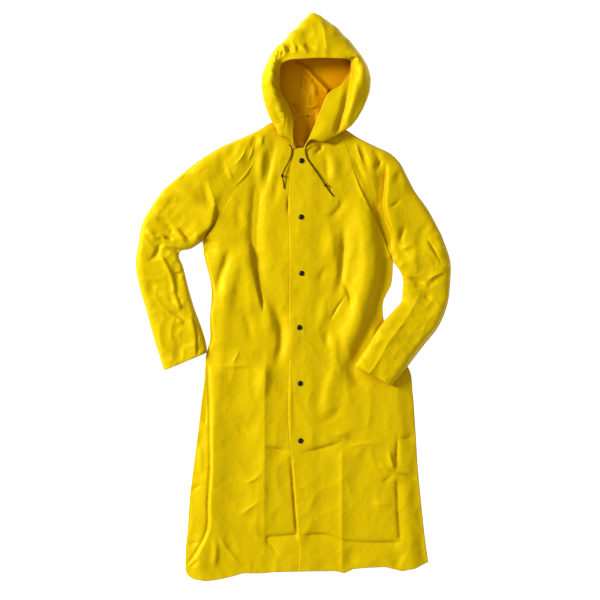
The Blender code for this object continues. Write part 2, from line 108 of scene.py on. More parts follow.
# Meshes
RAGLAN_ROWS, SIDE_ROWS, PANEL_COLUMNS = 120, 330, 108
BACK_STEP, BACK_COLUMNS = 3, 90  # the back takes every third row
ARM_ROWS, ARM_COLUMNS, LOWER_COLUMNS, FOLD_STEPS = 200, 100, 16, 9
HOOD_ROWS, HOOD_COLUMNS = 190, 110
FINE = 2000  # points on an edge before it is shared out
CORD_ROWS, CORD_POINTS, KNOT_ROWS, KNOT_POINTS, SNAP_POINTS = 120, 24, 90, 12, 48
WELD = 0.00002  # points nearer than this are joined

# ---------- outlines (x, y)
def metres(*points):
    return [tuple(value / 1000 for value in point) for point in points]


NECK_FRONT_R = metres((54, 429), (10, 431), (-1, 460), (-3, 492))
NECK_FRONT_L = metres((-3, 431), (31, 434), (48, 467), (64, 496))
RAGLAN_R = metres(
    (-3, 492), (-61, 485), (-97, 416), (-135, 344), (-174, 301), (-204, 250), (-235, 200),
    (-262, 163))
RAGLAN_L = metres(
    (64, 496), (138, 474), (162, 425), (177, 369), (193, 325), (213, 280), (250, 205), (290, 105))
SIDE_R = metres(
    (-262, 163), (-258, 120), (-249, 84), (-238, 35), (-237, 1), (-242, -63), (-241, -123),
    (-252, -170), (-257, -234), (-268, -323), (-274, -378), (-286, -471), (-300, -587),
    (-306, -676), (-311, -725), (-312, -791))
SIDE_L = metres(
    (290, 105), (284, 37), (262, -11), (264, -74), (300, -170), (335, -205), (347, -278),
    (353, -355), (356, -402), (362, -497), (372, -601), (381, -686), (392, -767))
PLACKET = metres(
    (-3, 431), (-9, 360), (-12, 291), (-10, 109), (-12, -181), (-9, -419), (-5, -449), (1, -531),
    (10, -645), (18, -717), (15, -793))
HEM_R = metres(
    (-312, -791), (-306, -805), (-291, -816), (-253, -822), (-220, -818), (-180, -809),
    (-145, -799), (-91, -799), (-58, -796), (14, -794), (68, -793))
HEM_L = metres(
    (15, -793), (54, -793), (126, -793), (148, -799), (174, -787), (211, -783), (268, -781),
    (315, -793), (353, -786), (392, -767))
NECK_BACK = metres(
    (-3, 492), (1, 506), (8, 516), (19, 520), (45, 525.5), (60, 524), (66, 512), (64, 496))

# Fold along the top of each arm down to the armpit, then sections of the arm.
SLEEVE_R_TOP = metres(
    (-4, 511.5), (-61, 508), (-98, 486), (-147, 463), (-204, 438), (-268, 400), (-328, 353),
    (-376, 312))
SLEEVE_R = [
    dict(outer=(-407, 268), inner=(-298, 141)),
    dict(outer=(-437, 214), inner=(-329, 132)),
    dict(outer=(-448, 158), inner=(-331, 122)),
    dict(outer=(-456, 100), inner=(-321, 94)),
    dict(outer=(-446, 34), inner=(-303, 25)),
    dict(outer=(-428, -28), inner=(-287, -30)),
    dict(outer=(-405, -112), inner=(-265, -90)),
    dict(outer=(-387, -170), inner=(-254, -126)),
    dict(outer=(-374, -212), inner=(-249, -160)),
]
SLEEVE_L_TOP = metres(
    (67, 518), (148, 489), (188, 463), (237, 439), (283, 416), (309, 390), (330, 351), (353, 307),
    (387, 260), (430, 182))
SLEEVE_L = [
    dict(outer=(456, 100), inner=(318, 56)),
    dict(outer=(455, 40), inner=(317, 20)),
    dict(outer=(447, -20), inner=(314, -10)),
    dict(outer=(420, -86), inner=(290, -39)),
    dict(outer=(380, -137), inner=(255, -80)),
    dict(outer=(335, -195), inner=(215, -142)),
    dict(outer=(286, -256), inner=(179, -196)),
]

# Hood halves, from the neck seam to the middle of the brim.  hem = the free edge round
# the face, wall = the crest of the side (or on the crown), fold = at the outline, floor =
# on the layer that lies on the ground, back = y on the centre seam at the back.
HOOD_R = [
    dict(hem=(3.5, 434, 17.2), wall=(1, 462, 15), fold=(1, 490, 14.5), floor=(12, 519.5, 0.8),
         back=525),
    dict(hem=(0, 470, 31), wall=(-20, 474, 35), fold=(-34, 468, 29), floor=(-12, 534, 4), back=548),
    dict(hem=(1, 514, 32), wall=(-32, 518, 46), fold=(-61, 511, 34), floor=(-22, 562, 1), back=576),
    dict(hem=(-13, 558, 29), wall=(-49, 566, 54), fold=(-80, 560, 38), floor=(-42, 596, 1),
         back=610),
    dict(hem=(-34, 598, 28), wall=(-61, 606, 60), fold=(-89.5, 606, 40), floor=(-50, 636, 1),
         back=648),
    dict(hem=(-37, 640, 32), wall=(-61, 648, 61), fold=(-86, 652, 40), floor=(-50, 672, 1),
         back=686),
    dict(hem=(-34, 672, 48), wall=(-52, 684, 61), fold=(-68, 690, 40), floor=(-38, 704, 1),
         back=716),
    dict(hem=(-12, 684, 60), wall=(-28, 708, 60), fold=(-38, 724, 52), floor=(-12, 732, 1),
         back=742),
    dict(hem=(22, 687, 63), wall=(8, 732, 60), fold=(1, 765, 52), floor=(18, 762, 1), back=766),
    dict(hem=(52, 689, 64), wall=(40, 750, 60), fold=(31, 799, 50), floor=(44, 790, 1), back=788),
    dict(hem=(78, 690, 64), wall=(68, 762, 60), fold=(57, 821, 46), floor=(64, 806, 1), back=800),
    dict(hem=(97, 690, 64), wall=(88, 764, 61), fold=(78, 813, 46), floor=(75.5, 806, 1), back=806),
]
HOOD_L = [
    dict(hem=(37, 437, 18.2), wall=(50, 466, 17.9), fold=(64, 499, 16.8), floor=(60, 523.5, 0.8),
         back=525),
    dict(hem=(51, 472, 31), wall=(72, 466, 36), fold=(84, 452, 29), floor=(78, 538, 4), back=548),
    dict(hem=(67, 508, 40), wall=(96, 492, 43), fold=(122, 468, 34), floor=(100, 560, 1), back=576),
    dict(hem=(82, 546, 42), wall=(134, 518, 45), fold=(163, 496, 38), floor=(130, 592, 1),
         back=610),
    dict(hem=(103, 590, 44), wall=(166, 560, 50), fold=(198, 547, 44), floor=(150, 628, 1),
         back=648),
    dict(hem=(142, 618, 38), wall=(194, 606, 62), fold=(219.5, 603, 46), floor=(166, 662, 1),
         back=686),
    dict(hem=(161, 652, 38), wall=(203, 654, 66), fold=(218, 655, 46), floor=(170, 694, 1),
         back=716),
    dict(hem=(166, 684, 52), wall=(187, 694, 62), fold=(194, 702, 38), floor=(158, 722, 1),
         back=742),
    dict(hem=(148, 688, 63), wall=(148, 722, 60), fold=(154, 745, 48), floor=(134, 758, 1),
         back=768),
    dict(hem=(122, 689, 64), wall=(118, 744, 61), fold=(117, 783, 46), floor=(104, 786, 1),
         back=790),
    dict(hem=(98, 690, 64), wall=(89, 764, 62), fold=(79, 813, 46), floor=(76.5, 806, 1), back=806),
]
BACK_SEAM = metres((524, 45), (650, 58), (806, 76))  # y, x

# ---------- folds
# Each row: rise (+ ridge, - trough), left and right half width as seen
# along the route, and the route in x, y.  A crease is a sharp line.  A lip's left
# side stands above its right one with a crevice at its foot, and sinks back over
# the left width.  ends = share of the route over which each end fades out.
def fold(rise, left, right, *route, form="soft", ends=0.42):
    return dict(rise=rise / 1000, left=left / 1000, right=right / 1000,
                route=metres(*route), form=form, ends=ends)


def crease(*sizes, **ends):
    return fold(*sizes, form="crease", **ends)


def lip(*sizes, **ends):
    return fold(*sizes, form="lip", **ends)


CHEST_FOLDS = [
    # the long fold down the right chest, and the lip beside it
    fold(-10, 22, 18, (-100, 410), (-102, 340), (-107, 270), (-114, 200), (-109, 120), (-101, 50),
         (-92, -20), ends=0.3),
    lip(9, 40, 2.4, (-88, -50), (-104, 20), (-117, 90), (-128, 170), ends=0.22),
    fold(-6.5, 10, 16, (-48, 474), (-60, 420), (-72, 360), (-86, 290), ends=0.45),
    fold(5, 10, 14, (-82, 462), (-90, 400), (-96, 300), ends=0.45),
    fold(-4.5, 7, 9, (-105, 482), (-119, 415)),
    fold(4.5, 6, 8, (-88, 478), (-94, 430)),
    fold(-3, 12, 12, (-40, 400), (-46, 330), (-60, 250)),
    # left chest, from the raglan seam and the hood
    fold(-4.5, 12, 8, (146, 300), (139, 268), (124, 247), (90, 222)),
    fold(-5, 5, 7, (73, 456), (78, 432), (58, 410)),
    fold(-4, 4, 5, (86, 450), (80, 422)),
    fold(-5.5, 6, 6, (100, 458), (127, 447), (136, 466)),
    fold(6, 18, 16, (112, 430), (118, 380), (128, 320)),
    fold(-3.5, 10, 10, (92, 430), (100, 380), (98, 330)),
    fold(5, 14, 20, (113, 205), (114, 150), (110, 90)),
    fold(4, 16, 20, (172, 250), (173, 170), (172, 80)),
]
WAIST_FOLDS = [
    fold(-7, 14, 10, (-176, 158), (-197, 100), (-213, 50), (-218, -5)),
    fold(7, 18, 34, (-154, 158), (-172, 80), (-186, 0), (-194, -80)),
    fold(-9.5, 16, 12, (-62, -4), (-46, -45), (-36, -85), (-34, -125), (-43, -180), (-50, -225)),
    fold(4.5, 12, 20, (-80, 12), (-70, -60), (-68, -130)),
    fold(4, 20, 26, (-4, -40), (0, -110), (-8, -190)),
    fold(-3.5, 12, 12, (-150, -20), (-128, -80), (-118, -150)),
    fold(-9.5, 10, 12, (145, 228), (148, 165), (147, 127), (141, 72), (139, 50), (120, -10)),
    fold(-6, 6, 7, (141, 52), (162, 13), (167, -3), (164, -38)),
    crease(-3.5, 4, 5, (158, 10), (133, -22), (104, -75)),
    fold(-3, 12, 10, (102, 90), (82, 64), (77, 34)),
    fold(3.5, 14, 14, (92, 20), (85, -60), (70, -110)),
    fold(4, 12, 14, (112, -85), (122, -150), (118, -210)),
    fold(-3.5, 10, 10, (96, -90), (98, -150)),
    fold(6, 22, 16, (150, -160), (120, -215), (98, -300), (100, -380)),
]
SIDE_FOLDS = [
    # the right front stands over a lower strip along its side seam
    lip(8.5, 40, 2.4, (-254, 138), (-239, 74), (-230, 36), (-226, -1), (-235, -57), (-231, -94),
        (-229, -124), (-240, -152), ends=0.1),
    lip(8, 45, 2.4, (-241, -190), (-239, -247), (-236, -300), (-235, -390), (-234, -488),
        (-240, -590), (-244, -677), (-272, -736), (-306, -788), ends=0.06),
    fold(-6, 3.5, 3.5, (-256, -308), (-254, -372), ends=0.4),
    crease(-3, 6, 6, (-306, -712), (-270, -712)),
    crease(-2.5, 6, 8, (-300, -560), (-262, -540)),
    fold(3, 8, 10, (-270, -420), (-266, -520)),
    # the left front falls away under the sleeve
    fold(16.5, 50, 30, (190, 300), (202, 240), (212, 160), (214, 80), (204, 20), (188, -50),
         (162, -130), (150, -200), ends=0.22),
    fold(-12, 22, 20, (236, 300), (248, 240), (258, 180), (266, 120), (263, 60), (248, 10),
         (230, -50), (210, -108), (184, -170), (172, -225), ends=0.14),
    fold(-9.5, 20, 20, (176, -160), (170, -205), (186, -240), (235, -262)),
    fold(4, 6, 8, (240, 52), (262, 20), (246, -30)),
]
SKIRT_FOLDS = [
    # creases where the coat was folded in its pack, level ones first
    crease(3, 30, 7, (-228, -200), (-172, -200), (-105, -198)),
    crease(2.2, 8, 6, (-154, -142), (-163, -170), (-178, -194)),
    crease(-4.5, 8, 26, (-88, -433), (-50, -438), (-6, -449)),
    crease(-4.5, 8, 30, (6, -452), (50, -444), (96, -433), (161, -409)),
    crease(3.5, 10, 10, (110, -396), (140, -396), (170, -410)),
    crease(3, 10, 20, (141, -438), (200, -424), (270, -425)),
    crease(-3, 8, 14, (305, -409), (356, -407)),
    crease(-4, 7, 30, (-84, -694), (-47, -692), (15, -686), ends=0.12),
    crease(-3.8, 7, 30, (20, -689), (106, -689), (146, -704), (200, -709), (320, -709), ends=0.1),
    # upright ones
    crease(5, 55, 34, (-83, -697), (-84, -560), (-82, -440), (-83, -300), (-79, -180), ends=0.08),
    fold(6, 22, 14, (-87, -300), (-82, -240), (-79, -180)),
    crease(3.5, 16, 34, (142, -798), (141, -600), (141, -437), ends=0.08),
    crease(-4, 8, 24, (310, -712), (303, -610), (300, -520), ends=0.12),
    crease(-4.5, 8, 8, (296, -512), (301, -450), (303, -385)),
    # where two creases cross, short ones run out like a star
    crease(4.5, 6, 6, (295, -508), (275, -438)),
    crease(-4, 6, 8, (295, -508), (330, -516), (366, -533)),
    crease(3.5, 8, 8, (292, -506), (246, -482)),
    fold(-3, 8, 6, (292, -512), (255, -540)),
    # slanting ones
    crease(3, 7, 6, (-148, -538), (-118, -530), (-88, -510)),
    crease(3, 8, 14, (-160, -636), (-120, -606), (-88, -582)),
    crease(-3, 8, 10, (-88, -696), (-60, -722), (-38, -756)),
    crease(4, 10, 20, (-224, -680), (-190, -728), (-142, -790)),
    fold(-5, 6, 6, (-303, -788), (-272, -758)),
    fold(5, 8, 10, (-226, -684), (-224, -740), (-232, -800)),
    fold(-3, 14, 14, (150, -290), (120, -340), (60, -370)),
    fold(3, 30, 30, (-100, -290), (-150, -330), (-200, -350)),
    fold(-3, 30, 30, (-110, -360), (-160, -400)),
    fold(-4, 18, 22, (160, -725), (166, -755), (172, -790)),
    fold(-3.5, 14, 18, (318, -725), (306, -765), (300, -795)),
    crease(3, 20, 20, (226, -598), (262, -600), (290, -601)),
    # along the placket
    fold(-4.8, 3.4, 3.4, (-11, -440), (-6, -480), (-2, -531), (7, -645), (15, -735), ends=0.3),
    fold(-4, 3.4, 3.4, (-14.5, 310), (-15, 270), (-14.5, 225), ends=0.5),
    crease(2, 6, 4, (-5, -430), (-6, -300), (-7, -185)),
]
FRONT_FOLDS = CHEST_FOLDS + WAIST_FOLDS + SIDE_FOLDS + SKIRT_FOLDS
SHOULDER_FOLDS = [
    fold(-3.5, 10, 10, (-266, 350), (-252, 300), (-236, 240)),
    crease(3.5, 12, 6, (-250, 346), (-236, 300), (-220, 250)),
    fold(6, 30, 22, (-310, 382), (-262, 362), (-222, 330)),
    fold(-3, 14, 14, (-222, 430), (-202, 392), (-206, 340)),
    crease(2.5, 8, 5, (-200, 400), (-172, 330)),
    fold(-3, 12, 12, (-160, 452), (-186, 400)),
    fold(4, 20, 26, (-166, 440), (-152, 390), (-136, 330)),
    crease(2.2, 5, 4, (-128, 452), (-150, 404), (-178, 376)),
    crease(2.2, 4, 5, (-108, 470), (-116, 430), (-134, 384)),
    fold(-3.5, 16, 12, (-150, 300), (-158, 240), (-150, 180)),
    crease(2.2, 6, 4, (-180, 312), (-140, 352), (-108, 398)),
    fold(-4.5, 7, 10, (190, 462), (205, 412), (214, 386), (222, 345)),
    crease(3, 5, 6, (180, 456), (192, 414), (206, 380)),
    fold(-4, 6, 10, (172, 412), (196, 364), (210, 330)),
    crease(3, 5, 6, (172, 376), (188, 330), (202, 298), (226, 262)),
    fold(-5, 8, 10, (226, 440), (248, 402), (249, 384), (226, 352)),
    fold(4, 14, 14, (220, 416), (234, 372)),
    crease(-3, 4, 6, (232, 376), (252, 392), (268, 400)),
]
SLEEVE_R_FOLDS = [
    # the upper arm folds over itself beside the armpit
    lip(10, 34, 2.8, (-292, 152), (-268, 178), (-240, 206), (-230, 240), (-226, 275), ends=0.22),
    fold(5.5, 16, 12, (-352, 316), (-318, 306), (-290, 290), (-270, 262)),
    fold(-4, 14, 14, (-396, 276), (-350, 270), (-296, 272)),
    fold(-3.5, 12, 12, (-340, 345), (-300, 345), (-270, 330)),
    fold(-5.5, 7, 12, (-408, 238), (-388, 228), (-364, 214), (-352, 196), (-366, 176)),
    fold(-5.5, 6, 7, (-338, 208), (-318, 190), (-293, 164)),
    fold(4.5, 8, 8, (-345, 196), (-322, 174), (-305, 156)),
    fold(-4.5, 5, 5, (-378, 169), (-360, 172), (-344, 164)),
    fold(5.5, 6, 6, (-404, 176), (-380, 178), (-360, 160)),
    fold(-8, 6, 8, (-378, 166), (-388, 142), (-400, 118), (-424, 102)),
    fold(-6.5, 6, 6, (-372, 150), (-350, 140), (-330, 135), (-306, 132)),
    fold(6, 10, 8, (-432, 196), (-410, 184), (-392, 160)),
    fold(5, 6, 8, (-388, 126), (-370, 100), (-351, 58), (-340, 3), (-321, -42), ends=0.12),
    fold(-5.5, 12, 18, (-362, 128), (-344, 92), (-332, 40), (-322, -10)),
    crease(-3, 4, 5, (-348, 67), (-330, 70), (-308, 76)),
    fold(-3.5, 7, 7, (-352, 16), (-326, 2)),
    fold(3, 6, 6, (-352, -10), (-322, -30)),
    fold(-3.5, 6, 6, (-362, -40), (-330, -52), (-310, -70)),
    fold(3, 7, 7, (-340, -66), (-314, -74)),
    fold(-3.5, 20, 16, (-322, -100), (-330, -150), (-334, -185)),
    fold(-3, 10, 10, (-420, 50), (-400, 20), (-370, 10)),
    # the slit at the cuff: the upper layer stops over the lower one
    lip(4.5, 16, 2, (-281.5, -171), (-284, -102), (-294, -55), ends=0.15),
]
SLEEVE_L_FOLDS = [
    # the upper arm stands as a ridge over a valley beside the body
    lip(8, 45, 2, (276, 404), (272, 330), (268, 268), (273, 233), (291, 191), (296, 145),
        ends=0.25),
    fold(-12.5, 6, 32, (268, 390), (263, 320), (259, 262), (264, 222), (280, 180), (284, 130),
         ends=0.2),
    crease(3.6, 20, 26, (196, -236), (212, -226), (275, -132), (342, -38), (372, 20), ends=0.08),
    fold(-6.5, 6, 8, (328, 57), (352, 52), (382, 40)),
    crease(5, 9, 6, (384, 46), (412, 64), (446, 78)),
    fold(-4, 8, 8, (386, 36), (420, 50)),
    fold(-3, 6, 6, (378, 10), (402, -10)),
    fold(-3, 6, 6, (346, 34), (391, 26)),
    crease(-4.5, 4, 5, (383, 180), (396, 158), (434, 92)),
    fold(-6, 7, 8, (330, 208), (314, 180), (314, 150)),
    fold(5, 8, 7, (306, 138), (330, 146), (352, 154)),
    crease(-3.5, 6, 5, (270, 256), (290, 266), (318, 290)),
    fold(-3.5, 10, 10, (308, 376), (300, 322)),
    fold(4, 14, 14, (346, 190), (350, 120), (346, 60)),
    fold(-3.5, 14, 14, (400, 230), (372, 180), (366, 130)),
]
HOOD_INSIDE_FOLDS = [
    lip(10, 12, 2.2, (0, 684), (36, 658), (70, 624), (106, 588), ends=0.1),
    fold(-6, 5, 5, (1, 676), (18, 645), (16, 617), (21, 558)),
    fold(5, 5, 6, (10, 664), (28, 630), (30, 590)),
    fold(-5, 5, 6, (30, 662), (47, 630), (46, 585)),
    fold(5, 10, 10, (58, 640), (62, 600), (58, 570)),
    fold(-6, 5, 5, (-12, 560), (10, 548), (20, 530)),
    fold(7, 5, 5, (-4, 566), (18, 552), (30, 556)),
    fold(6, 4, 5, (6, 540), (16, 538), (26, 544)),
    fold(-4.5, 4, 4, (26, 556), (34, 530)),
    fold(5, 6, 4, (34, 560), (50, 552), (76, 556)),
]
HOOD_OUTSIDE_FOLDS = [
    fold(-11, 10, 9, (166, 676), (159, 617), (146, 544), (129, 486), (124, 462), ends=0.15),
    fold(6, 12, 8, (182, 640), (180, 590), (162, 530), (142, 476)),
    crease(-4, 4, 4, (160, 686), (182, 690), (203, 690)),
    fold(-4, 10, 10, (-66, 560), (-40, 520), (-20, 480)),
    fold(-5.5, 3, 3, (-46, 688), (-41, 702), (-37, 716)),
    fold(-5.5, 3, 3, (-36, 690), (-32, 704), (-29, 716)),
    fold(5, 6, 7, (-32, 738), (-24, 712), (-16, 696)),
    fold(-4.5, 7, 6, (-14, 730), (-10, 702)),
    fold(4.5, 5, 6, (6, 734), (8, 700)),
    fold(4.5, 5, 7, (22, 728), (36, 712), (48, 704)),
    fold(-4, 7, 6, (30, 740), (48, 722), (70, 716)),
    fold(-3, 16, 16, (50, 790), (44, 750), (60, 712)),
    fold(3, 18, 18, (20, 780), (0, 750), (-20, 725)),
]

# ---------- trim
SNAPS = metres((25, 396), (24, 233), (25, 70), (19, -87), (21, -249), (22, -415))
CORD_R = metres(
    (-11, 442, 26), (-5.5, 437, 23.5), (-3, 430, 20), (-3, 419, 18.1), (-9, 399, 17.9),
    (-16, 385, 17.9), (-24, 370, 18.5), (-31, 352, 19), (-29, 342, 18), (-26.5, 330, 15.5),
    (-25.8, 315, 14.7))
CORD_L = metres(
    (56, 456, 30), (48, 450, 28), (39.5, 439, 23.5), (36.5, 428, 19.5), (37.5, 416, 18.1),
    (43, 400, 17.9), (54, 384, 17.9), (69, 363, 17.6), (84, 340, 18.5), (94, 325, 18.8),
    (104, 310, 16.5), (116, 294, 14.8))
# Radius and height of a snap cap, from its middle round to its foot
SNAP_PROFILE = metres(
    (0, 3.2), (2.2, 3.1), (4.2, 2.7), (5.6, 2.1), (6.1, 1.7), (6.4, 1.65), (7, 1.6), (7.6, 1.2),
    (7.8, 0.6), (7.6, 0.1), (0, 0))
CORD_RADIUS = 0.0016
CORD_GAP = 0.0002  # air between a cord and the front below it
PLACKET_X = -0.012  # the lapping front lies on the right of this x
BRAID_PITCH, BRAID_STRANDS, BRAID_DEPTH = 0.0011, 4, 0.07
KNOT_TURNS, KNOT_LENGTH, KNOT_STRAND = 2.5, 0.0075, 0.0014
KNOT_SWELL = 0.45  # its turns widen by this share towards its middle
KNOT_RADIUS, KNOT_LOBES = 0.0030, 0.0006  # radius of its turns, and how far it varies

# ---------- stage
LENS, SENSOR = 200.0, 36.0
PICTURE_WIDTH = 1.74  # metres across the picture
PICTURE_MIDDLE = (0.0203, -0.0073)
FLOOR_Z = -0.0006
FLOOR_GLOW = dict(Emission_Color=(0.80, 0.88, 1, 1), Emission_Strength=0.85)
WORLD_LIGHT = dict(Color=(1.0, 0.82, 0.50, 1), Strength=0.34)
LIGHTS = [dict(name="key", spot=(-7.2, 2.6, 4.1), size=2.8, watts=1240),
          dict(name="fill", spot=(2.0, -1.5, 5.0), size=3.0, watts=45)]


# ---------- curves
def distances(points):
    """Distance along a polyline to each of its points."""
    return np.r_[0, np.cumsum(np.linalg.norm(np.diff(points, axis=0), axis=1))]


def length(points):
    return float(distances(points)[-1])


def even(points, count):
    """count points at equal steps along a polyline."""
    pts = np.array(points, float)
    run = distances(pts)
    steps = np.linspace(0, run[-1], count)
    return np.stack([np.interp(steps, run, pts[:, k]) for k in range(pts.shape[1])], axis=1)


def smooth(points, count):
    """count points, evenly spaced, on a smooth curve through the given ones."""
    pts = np.array(points, float)
    chord = distances(pts)
    slope = np.gradient(pts, chord, axis=0)
    fine = np.linspace(0, chord[-1], max(40 * len(pts), 2 * count))
    place = np.clip(np.searchsorted(chord, fine, "right") - 1, 0, len(pts) - 2)
    span = (chord[place + 1] - chord[place])[:, None]
    t = (fine - chord[place])[:, None] / span
    curve = ((2 * t**3 - 3 * t**2 + 1) * pts[place]
             + (t**3 - 2 * t**2 + t) * span * slope[place]
             + (3 * t**2 - 2 * t**3) * pts[place + 1]
             + (t**3 - t**2) * span * slope[place + 1])
    return even(curve, count)


def ease(t):
    """0 up to t = 0, 1 from t = 1, and smooth between."""
    t = np.clip(t, 0, 1)
    return t * t * (3 - 2 * t)


def bell(distance, width):
    return np.exp(-(distance / width) ** 2)


def inset(points, distance):
    """A polyline moved sideways to the left of its direction."""
    pts = np.array(points, float)
    along = np.gradient(pts, axis=0)
    along /= np.linalg.norm(along, axis=1)[:, None]
    return pts + distance * np.stack([-along[:, 1], along[:, 0]], axis=1)


def along_route(route, x, y):
    """Signed distance from a route (+ on its left) and share of the way along it."""
    run = distances(route)
    best = np.full(x.shape, np.inf)
    sign = np.ones(x.shape)
    share = np.zeros(x.shape)
    for k in range(len(route) - 1):
        d = route[k + 1] - route[k]
        dx, dy = x - route[k, 0], y - route[k, 1]
        t = np.clip((dx * d[0] + dy * d[1]) / (d @ d), 0, 1)
        gap = np.hypot(dx - t * d[0], dy - t * d[1])
        nearer = gap < best
        best = np.where(nearer, gap, best)
        sign = np.where(nearer, np.where(d[0] * dy - d[1] * dx >= 0, 1.0, -1.0), sign)
        share = np.where(nearer, (run[k] + t * (run[k + 1] - run[k])) / run[-1], share)
    return sign * best, share


def fold_shape(form, gap, left, right):
    """Height of a fold of rise 1 at a signed distance from its route."""
    if form == "lip":
        step = 0.5 + 0.5 * np.tanh((gap + right) / right)
        crevice = bell(gap + CREVICE_AT * right, CREVICE_WIDTH * right)
        return step * bell(np.maximum(gap, 0), left) - LIP_CREVICE * crevice
    ratio = np.abs(gap) / np.where(gap > 0, left, right)
    return bell(ratio, 1) if form == "soft" else CRISP * np.exp(-CREASE_FALL * ratio)


def press(folds, x, y):
    """Height that a table of folds adds at each (x, y)."""
    total = np.zeros(x.shape)
    for f in folds:
        route = np.array(f["route"])
        if len(route) > 2:
            route = smooth(route, ROUTE_POINTS * len(route))
        reach = FOLD_REACH * max(f["left"], f["right"])
        low, high = route.min(axis=0) - reach, route.max(axis=0) + reach
        near = (x > low[0]) & (x < high[0]) & (y > low[1]) & (y < high[1])
        if near.any():
            gap, share = along_route(route, x[near], y[near])
            taper = ease(share / f["ends"]) * ease((1 - share) / f["ends"])
            shape = fold_shape(f["form"], gap, f["left"], f["right"])
            total[near] += f["rise"] * taper * shape
    return total


def ripple(x, y, size, seed, z=0.0):
    """Smooth noise in -1..1 with features of the given size."""
    flat = np.stack([x.ravel(), y.ravel(), (z + 0 * x).ravel()], axis=1) / size
    offset = Vector([seed * step for step in SEED_STEPS])
    return np.array([noise.noise(Vector(p) + offset) for p in flat]).reshape(x.shape)


def crumple(x, y, size, seed):
    """Facets with sharp ridges between them, up to 1, as in creased coated cloth."""
    bend, bend_size = FACET_BEND * size, FACET_BEND_SIZE * size
    u = x + bend * ripple(x, y, bend_size, seed + 11)
    v = y + bend * ripple(x, y, bend_size, seed + 12)
    return 1 - FACET_SLOPE * np.abs(ripple(u, v, size, seed))


# How uneven the cloth is between its folds.  stretch = factor on y before the
# noise: features are longer along the coat where it is below 1.
BODY_UNEVEN = [dict(form=ripple, height=0.0018, stretch=0.35, size=0.080, seed=1),
               dict(form=crumple, height=0.0011, stretch=0.7, size=0.055, seed=2),
               dict(form=crumple, height=0.0003, stretch=1, size=0.021, seed=8)]
SLEEVE_UNEVEN = [dict(form=ripple, height=0.0012, stretch=1, size=0.055, seed=3),
                 dict(form=crumple, height=0.0013, stretch=1, size=0.038, seed=4),
                 dict(form=crumple, height=0.0003, stretch=1, size=0.018, seed=9)]
BACK_UNEVEN = [dict(form=ripple, height=0.0012, stretch=0.4, size=0.030, seed=5)]


def uneven(table, x, y):
    return sum(row["height"] * row["form"](x, row["stretch"] * y, row["size"], row["seed"])
               for row in table)


# ---------- heights
def side_clearance(x, y):
    """How far inside the side seams a point lies; large above the armpits."""
    left = np.array([BEYOND_R] + SIDE_R)
    right = np.array([BEYOND_L] + SIDE_L)
    x_left = np.interp(y, left[::-1, 1], left[::-1, 0])
    x_right = np.interp(y, right[::-1, 1], right[::-1, 0])
    return np.minimum(x - x_left, x_right - x)


def body_form(x, y):
    """Height of the middle of the fronts' cloth before it is creased."""
    return REST + (PLATEAU - REST) * ease(side_clearance(x, y) / EDGE_RISE)


def body_creases(x, y):
    """The folds and the crumpling of the fronts, which run on over the shoulders."""
    z = uneven(BODY_UNEVEN, x, y) + press(FRONT_FOLDS, x, y)
    return z * ease(side_clearance(x, y) / CALM) + press(SHOULDER_FOLDS, x, y)


def body_height(x, y):
    """Height of the middle of the fronts' cloth."""
    return np.maximum(body_form(x, y) + body_creases(x, y), REST)


def lap_height(x, y):
    """The front that laps over lies above the other along the placket."""
    return body_height(x, y) + LAP_STEP * (1 - ease((x - LAP_IN) / (LAP_OUT - LAP_IN)))


# ---------- meshes
def grid_mesh(name, grid, flip=False):
    grid = np.asarray(grid, float)
    rows, columns = grid.shape[:2]
    index = np.arange(rows * columns).reshape(rows, columns)
    a, b = index[:-1, :-1].ravel(), index[:-1, 1:].ravel()
    c, d = index[1:, 1:].ravel(), index[1:, :-1].ravel()
    faces = np.stack([d, c, b, a] if flip else [a, b, c, d], axis=1)
    mesh = bpy.data.meshes.new(name)
    mesh.vertices.add(rows * columns)
    mesh.vertices.foreach_set("co", grid.reshape(-1, 3).ravel())
    mesh.loops.add(faces.size)
    mesh.loops.foreach_set("vertex_index", faces.ravel())
    mesh.polygons.add(len(faces))
    mesh.polygons.foreach_set("loop_start", np.arange(0, faces.size, 4))
    mesh.update(calc_edges=True)
    mesh.validate()
    mesh.shade_smooth()
    return mesh


def add(name, mesh, mat, node):
    """A piece that rides on the coat and stands for one CAD node."""
    obj = bpy.data.objects.new(name, mesh)
    bpy.context.scene.collection.objects.link(obj)
    mesh.materials.append(mat)
    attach(obj, "root")
    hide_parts(node)
    return obj


def sheet(node, grid, faces, flip=False):
    """A thin shell with two materials: on the side of its normals, and on the other."""
    name = f"{node}_cloth"
    obj = add(name, grid_mesh(name, grid, flip), faces[0], node)
    obj.data.materials.append(faces[1])
    wall = obj.modifiers.new("Wall", "SOLIDIFY")
    wall.thickness = WALL
    wall.offset = 0.0
    wall.material_offset = 1
    return obj


def weld(obj):
    """Joins the points that meet where a tube closes or a cap comes to its middle."""
    modifier = obj.modifiers.new("Weld", "WELD")
    modifier.merge_threshold = WELD


def panel_points(left, right, top, bottom, columns):
    """Points of a four-sided panel between its edges, row by row from the hem."""
    low, high = even(bottom, columns), even(top, columns)
    u = np.linspace(0, 1, columns)[None, :, None]
    v = np.linspace(0, 1, len(left))[:, None, None]
    across = (1 - u) * left[:, None] + u * right[:, None]
    ruled = across + (1 - v) * low[None] + v * high[None]
    corners = ((1 - u) * (1 - v) * low[0] + u * (1 - v) * low[-1]
               + (1 - u) * v * high[0] + u * v * high[-1])
    return ruled - corners


def with_height(points, height):
    z = height(points[..., 0], points[..., 1])
    return np.concatenate([points, z[..., None]], axis=-1)


# ---------- materials
MIX_A, MIX_B, MIX_RESULT = 6, 7, 2  # colour sockets of a Mix node


def set_inputs(node, **values):
    """Sets inputs by name, with _ for a space."""
    for name, value in values.items():
        node.inputs[name.replace("_", " ")].default_value = value


